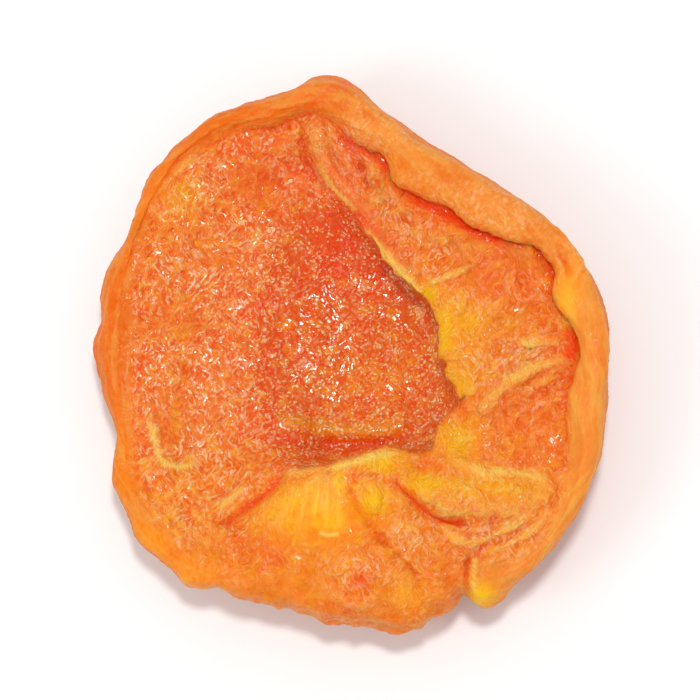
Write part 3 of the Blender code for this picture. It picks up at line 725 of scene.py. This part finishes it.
# The line where the flesh goes in under the rolled rim, just past its inner edge.
at_the_fold = np.exp(-((station - 8.3) / 0.75) ** 2)
paint("hollow", in_hollow * np.ones_like(plan[..., 0]))
paint("rim", on_rim * np.ones_like(plan[..., 0]))
paint("skin", on_skin * np.ones_like(plan[..., 0]))
in_the_open = on_top * (1 - at_the_fold * fold)
paint("yellow", in_the_open * (1 - in_hollow) * spots(plan, YELLOW_SPOTS_MM))
# Painted shade in the flesh under the rolled rim.
shade_under_flap = 0.95 * fold * at_the_fold
wall = steep * ramp(station, 1.7, 2.4) * (1 - ramp(station, 3.6, 4.1))
paint("cream", in_the_open * (1 - wall) * lines(plan, CREAM_AND_HIGHLIGHT_LINES_MM))
# The red lines and spots, kept off the rim and the hollow's wall: mostly painted shade.
red_and_shade_marks = (1 - 0.85 * on_rim) * (1 - 0.7 * wall) * np.maximum(
    lines(plan, SHADE_RED_LINES_MM), spots(plan, RED_AND_SHADE_SPOTS_MM))
paint("red", on_top * np.maximum(red_and_shade_marks, shade_under_flap))
paint("golden", on_top * spots(plan, GOLDEN_SPOTS_MM))
paint("pale", on_rim * ramp(plan[..., 0] + 0.3 * plan[..., 1], -1.0, 11.0))
paint("threads", on_top * (1 - in_hollow) * spots(plan, PALE_THREAD_AND_HIGHLIGHT_SPOTS_MM))
paint("lined", on_rim * ramp(np.cos(angles - math.radians(LINED_SKIN_DEG)), 0.72, 0.92))
paint("tan", in_hollow * (1 - wall) * lines(plan, (TAN_LINE_MM,)))
paint("taut", on_top * taut)
paint("rough", np.maximum(rough_side, in_hollow) * (1 - on_rim))
# Painted highlight on the folds' tops and painted shade in their creases.
paint("crest", (1 - in_hollow) * fold_light_and_shade)
paint("arc", arc / ARC_SPAN_MM)
# Painted highlight and shade by relief: paler on the tops of wrinkles and folds, redder in their
# valleys.
raised = 0.5 * fine + 0.35 * finer + 0.3 * crumpled
paint("ridge", (on_loose + 0.4 * on_rim) * raised + 0.8 * fold_light_and_shade)

DEEP_ORANGE = (0.82, 0.135, 0.003, 1.0)
FLESH_ORANGE = (0.84, 0.175, 0.003, 1.0)
GOLDEN_ORANGE = (0.92, 0.33, 0.004, 1.0)
RIM_ORANGE = (0.75, 0.152, 0.002, 1.0)
RIM_PALE = (0.80, 0.36, 0.060, 1.0)
SKIN_ORANGE = (0.84, 0.200, 0.005, 1.0)
SKIN_RED = (0.78, 0.105, 0.004, 1.0)
SKIN_PALE = (0.88, 0.34, 0.045, 1.0)
# Painted highlight on the tops of wrinkles and folds.
PEACH_HIGHLIGHT = (0.95, 0.43, 0.085, 1.0)
# Pink-white for painted highlight strokes and pale threads, white for painted glints.
PINK_WHITE = (0.98, 0.61, 0.37, 1.0)
GLINT_WHITE = (1.0, 0.72, 0.41, 1.0)
PULP_YELLOW = (0.97, 0.54, 0.004, 1.0)
CREAM_AND_HIGHLIGHT = (0.98, 0.62, 0.12, 1.0)
FOLD_TAN = (0.82, 0.31, 0.012, 1.0)
# Deeper red of the flesh's mottle, and painted shade in creases, grooves and under the rolled rim.
RED_MOTTLE_AND_SHADE = (0.90, 0.055, 0.003, 1.0)
BUMP_DEPTH_M = 0.00032


class Wire:
    """A socket of the material being made. Sums, differences and products of wires and
    numbers add their Math nodes, and node() adds any other."""

    def __init__(self, tree, socket=None):
        self.tree = tree
        self.socket = socket

    def node(self, kind, settings=(), inputs=(), outlet=0):
        """Adds a node of this kind, sets it up, then fills or joins its sockets."""
        made = self.tree.nodes.new(kind)
        for name, value in dict(settings).items():
            setattr(made, name, value)
        for name, value in dict(inputs).items():
            if isinstance(value, Wire):
                self.tree.links.new(value.socket, made.inputs[name])
            else:
                made.inputs[name].default_value = value
        return Wire(self.tree, made.outputs[outlet]) if made.outputs else None

    def math(self, operation, first, second):
        return self.node("ShaderNodeMath", {"operation": operation}, {0: first, 1: second})

    def __add__(self, other):
        return self.math("ADD", self, other)

    def __sub__(self, other):
        return self.math("SUBTRACT", self, other)

    def __rsub__(self, other):
        return self.math("SUBTRACT", other, self)

    def __mul__(self, other):
        return self.math("MULTIPLY", self, other)

    __radd__ = __add__
    __rmul__ = __mul__


MASKS = (
    "hollow", "rim", "skin", "pale", "rough", "taut", "threads", "lined",
    "yellow", "golden", "cream", "tan", "red", "ridge", "crest", "arc",
)


def masks(wire):
    """Every painted mask as a wire, under its own name."""
    return SimpleNamespace(**{
        name: wire.node("ShaderNodeAttribute", {"attribute_name": name}, outlet="Fac")
        for name in MASKS
    })


def tint(under, over, share):
    """The colour under, turned towards the colour over by the share, kept from 0 to 1."""
    return share.node(
        "ShaderNodeMix", {"data_type": "RGBA"}, {"Factor": share, 6: under, 7: over}, outlet=2)


def noise(place, scale, detail=3.0, roughness=0.55, colour=False):
    """A soft noise of so many waves to the metre, as a number or as a colour."""
    return place.node("ShaderNodeTexNoise", inputs={
        "Vector": place, "Scale": scale, "Detail": detail, "Roughness": roughness,
    }, outlet="Color" if colour else "Fac")


def clear_step(value, low, high):
    """0 up to low and 1 from high on, straight between."""
    return value.node(
        "ShaderNodeMapRange", inputs={"Value": value, "From Min": low, "From Max": high})


def dashes(place, turn):
    """Short strokes along one direction: a fine noise drawn out three times along it."""
    drawn_out = place.node("ShaderNodeMapping", {"vector_type": "TEXTURE"}, {
        "Vector": place, "Rotation": (0.0, 0.0, turn), "Scale": (1.0, 3.0, 1.5)})
    return noise(drawn_out, 4400.0, 1.5)


def patterns(place, arc_share):
    """The fine patterns that the colours and the bump share, as wires under their names."""
    bend = noise(place, 1700.0, 1.0, colour=True)
    bent = place.node("ShaderNodeVectorMath", {"operation": "MULTIPLY_ADD"}, {
        0: bend, 1: (0.0006, 0.0006, 0.0006), 2: place})
    pebble = place.node("ShaderNodeTexVoronoi", {"feature": "SMOOTH_F1"}, {
        "Vector": bent, "Scale": 3300.0, "Smoothness": 0.3}, outlet="Distance")
    pore = place.node(
        "ShaderNodeTexVoronoi", inputs={"Vector": place, "Scale": 620.0}, outlet="Distance")
    patch = clear_step(noise(place, 700.0, 1.0), 0.44, 0.56)
    down = place.node("ShaderNodeCombineXYZ", inputs={"Z": arc_share * (ARC_SPAN_MM * MM)})
    round_the_side = place.node("ShaderNodeVectorMath", {"operation": "MULTIPLY_ADD"}, {
        0: place, 1: (0.16, 0.16, 0.0), 2: down})
    return SimpleNamespace(
        mottle=noise(place, 260.0),
        fleck=noise(place, 900.0),
        blush=noise(place, 90.0, 2.0),
        pebbles=1 - pebble,
        strokes=dashes(bent, 0.5) * patch + dashes(bent, -0.7) * (1 - patch),
        fibres=noise(place, 2600.0, 4.0, 0.6),
        layers=noise(round_the_side, 1500.0, 3.0),
        pores=1 - pore,
        crepe=place.math("ABSOLUTE", noise(place, 1100.0, 2.0) - 0.5, 0.0),
    )


def colours_and_relief_shading(on, seen):
    """The colours of flesh and skin, with painted shade in valleys and grooves and painted
    highlight on wrinkle tops, each as (colour, its share over those before it).
    """
    blotches = clear_step(seen.mottle * 0.6 + seen.fibres * 0.4, 0.42, 0.58) * 0.7 + 0.15
    lines_down = clear_step(seen.layers, 0.44, 0.60) * 0.4 + 0.5
    return (
        (DEEP_ORANGE, on.hollow * 0.9),
        (RIM_ORANGE, on.rim),
        (GOLDEN_ORANGE, on.golden),
        (RIM_PALE, on.pale * (1 - on.lined) * blotches + on.lined * lines_down),
        (SKIN_ORANGE, on.skin),
        (SKIN_RED, on.skin * clear_step(seen.blush, 0.42, 0.66) * 0.75),
        (SKIN_RED, on.skin * clear_step(seen.mottle, 0.46, 0.66) * 0.45),
        (SKIN_PALE, on.skin * clear_step(seen.layers, 0.50, 0.68) * 0.35),
        (SKIN_PALE, on.skin * clear_step(seen.pores, 0.87, 0.93) * 0.6),
        (RED_MOTTLE_AND_SHADE, clear_step(seen.mottle, 0.48, 0.68) * (1 - on.rim * 0.7) * 0.5),
        # Painted shade in the wrinkles' valleys and the strokes' grooves.
        (RED_MOTTLE_AND_SHADE, clear_step(0 - on.ridge, 0.0, 0.9) * (1 - on.rim * 0.6) * 0.4),
        (RED_MOTTLE_AND_SHADE, clear_step(1 - seen.strokes, 0.50, 0.62) * (on.rough + 0.4) * 0.45),
        # Painted highlight on the tops of wrinkles and folds.
        (PEACH_HIGHLIGHT, clear_step(on.ridge, 0.0, 1.0) * (1 - on.hollow) * 0.4),
        (RIM_PALE, on.rim * (1 - on.skin) * clear_step(seen.layers, 0.48, 0.62) * 0.5),
        (PULP_YELLOW, clear_step(seen.fleck, 0.52, 0.72) * (1 - on.rim * 0.8) * 0.4),
    )


def dried_colours_and_painted_light(on, seen, bare):
    """What lies on them: painted highlight strokes and glints, pale threads, pulp, veins, and
    painted shade in creases.
    """
    # Painted highlights in pink-white strokes over the flesh.
    painted_highlight_strokes = (
        bare * (0.45 + on.rough * 0.5) * (1 - on.hollow * 0.55)
        * (1 - on.rim * 0.85 + on.pale * 0.6) * (1 - on.lined) * (1 - on.red * 0.7)
        * (1 - on.skin * 0.9) * (1 - on.golden * 0.5)
        * clear_step(seen.strokes, 0.50, 0.68) * clear_step(seen.mottle, 0.32, 0.54)
    )
    # Painted glints: white specks on the pebbles of the hollow.
    painted_glints = clear_step(seen.pebbles, 0.58, 0.80) * clear_step(seen.fleck, 0.40, 0.50)
    return (
        (PINK_WHITE, painted_highlight_strokes),
        # Pale threads with painted highlights in pink-white strokes.
        (PINK_WHITE, on.threads * clear_step(seen.strokes, 0.45, 0.63) * 0.75),
        # Painted shade in sunk creases, painted highlight on risen folds.
        (RED_MOTTLE_AND_SHADE, clear_step(0 - on.crest, 0.15, 0.7) * 0.6),
        (PEACH_HIGHLIGHT, clear_step(on.crest, 0.35, 0.9) * clear_step(seen.fleck, 0.3, 0.55) * 0.7),
        (PULP_YELLOW, on.yellow * clear_step(seen.mottle, 0.2, 0.45)),
        (FOLD_TAN, on.tan),
        # Red lines and spots, mostly painted shade.
        (RED_MOTTLE_AND_SHADE, on.red),
        (GLINT_WHITE, on.hollow * painted_glints * 0.85),
        (CREAM_AND_HIGHLIGHT, on.cream * clear_step(seen.fleck, 0.20, 0.42)),
    )


def fine_relief(on, seen, bare):
    """The height of the bump: pebbles, strokes and fibres on the flesh, lines on the skin."""
    return bare * (
        seen.pebbles * (on.hollow * 0.9)
        + seen.strokes * (1.6 - on.rim * 1.1 - on.lined * 0.4)
        + seen.fibres * (0.45 - on.rim * 0.2)
        + seen.layers * (on.rim * 0.9)
        - seen.crepe * (on.skin * 2.4)
    )


def flesh_and_skin():
    """The half's one material: translucent orange pulp under a thin moist gloss."""
    material = bpy.data.materials.new("dried_apricot_flesh")
    material.use_nodes = True
    material.node_tree.nodes.clear()
    wire = Wire(material.node_tree)
    place = wire.node("ShaderNodeTexCoord", outlet="Object")
    on = masks(wire)
    seen = patterns(place, on.arc)
    bare = 1 - on.taut * 0.8
    colour = FLESH_ORANGE
    for over, share in colours_and_relief_shading(on, seen) + dried_colours_and_painted_light(on, seen, bare):
        colour = tint(colour, over, share)
    bump = wire.node("ShaderNodeBump", inputs={
        "Strength": 1.0, "Distance": BUMP_DEPTH_M, "Height": fine_relief(on, seen, bare)})
    shader = wire.node("ShaderNodeBsdfPrincipled", inputs={
        "Base Color": colour,
        "Roughness": 0.42 - on.hollow * 0.08 + on.rim * 0.10,
        "Coat Weight": 0.25 + on.rough * 0.25 + on.hollow * 0.2 - on.rim * 0.20,
        "Coat Roughness": 0.07,
        "Coat IOR": 1.36,
        "IOR": 1.20,
        "Subsurface Weight": 0.85,
        "Subsurface Radius": (1.0, 0.12, 0.05),
        "Subsurface Scale": 0.0020,
        "Normal": bump,
    })
    wire.node("ShaderNodeOutputMaterial", inputs={"Surface": shader})
    return material


mesh.materials.append(flesh_and_skin())
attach(apricot, "root")
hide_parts("apricot_half")

# The table: a plain white board that the half lies on. It is far wider than the view,
# so that its edge never shows.
TABLE_SIZE = 3.0
TABLE_WHITE = (0.90, 0.90, 0.90, 1.0)


def table_top():
    """A flat square of the table's size, at height 0."""
    reach_out = TABLE_SIZE / 2
    corners = [(-reach_out, -reach_out, 0), (reach_out, -reach_out, 0),
               (reach_out, reach_out, 0), (-reach_out, reach_out, 0)]
    board = bpy.data.meshes.new("table")
    board.from_pydata(corners, [], [(0, 1, 2, 3)])
    board.materials.append(white_board())
    return bpy.data.objects.new("table", board)


def white_board():
    """The table's paint: flat white with a dull sheen."""
    material = bpy.data.materials.new("white_board")
    material.use_nodes = True
    shader = material.node_tree.nodes["Principled BSDF"]
    shader.inputs["Base Color"].default_value = TABLE_WHITE
    shader.inputs["Roughness"].default_value = 0.6
    return material


table = table_top()
bpy.context.scene.collection.objects.link(table)
table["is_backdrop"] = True

# The studio: a bright white room, one soft lamp high on the right and a weaker one
# on the left, and the camera almost overhead, a little towards the lower right.
ROOM_STRENGTH = 0.64
# Name, place, width and power of each lamp.
LAMPS = (
    ("key_lamp", (0.07, 0.05, 0.49), 0.06, 1.05),
    ("side_lamp", (-0.30, -0.14, 0.38), 0.20, 0.40),
)
CAMERA_AZIMUTH_DEG = 35.0
CAMERA_ELEVATION_DEG = 78.0
CAMERA_LENS_MM = 200.0
SENSOR_MM = 36.0
FRAMED_WIDTH = 0.0585

low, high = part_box("apricot_half")
aim = (low + high) / 2


def facing(direction, up_hint):
    """The turn whose local -z looks along the direction and whose y is nearest the hint."""
    back = -direction.normalized()
    right_hand = up_hint.cross(back).normalized()
    return Matrix((right_hand, back.cross(right_hand), back)).transposed().to_euler()


room = bpy.data.worlds.new("white_room")
room.use_nodes = True
room.node_tree.nodes["Background"].inputs["Color"].default_value = (1.0, 1.0, 1.0, 1.0)
room.node_tree.nodes["Background"].inputs["Strength"].default_value = ROOM_STRENGTH
bpy.context.scene.world = room
for name, place, size, energy in LAMPS:
    lamp = bpy.data.lights.new(name, "AREA")
    lamp.shape = "DISK"
    lamp.size = size
    lamp.energy = energy
    fitting = bpy.data.objects.new(name, lamp)
    fitting.location = place
    fitting.rotation_euler = (aim - fitting.location).to_track_quat("-Z", "Y").to_euler()
    bpy.context.scene.collection.objects.link(fitting)

azimuth, elevation = math.radians(CAMERA_AZIMUTH_DEG), math.radians(CAMERA_ELEVATION_DEG)
distance = FRAMED_WIDTH * CAMERA_LENS_MM / SENSOR_MM
offset = distance * Vector((
    math.sin(azimuth) * math.cos(elevation),
    -math.cos(azimuth) * math.cos(elevation),
    math.sin(elevation),
))
lens = bpy.data.cameras.new("camera")
lens.lens = CAMERA_LENS_MM
lens.sensor_width = SENSOR_MM
camera = bpy.data.objects.new("camera", lens)
camera.location = aim + offset
camera.rotation_euler = facing(-offset, Vector((0, 1, 0)))
bpy.context.scene.collection.objects.link(camera)
bpy.context.scene.camera = camera
bpy.context.scene.view_settings.view_transform = "Standard"

low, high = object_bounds()
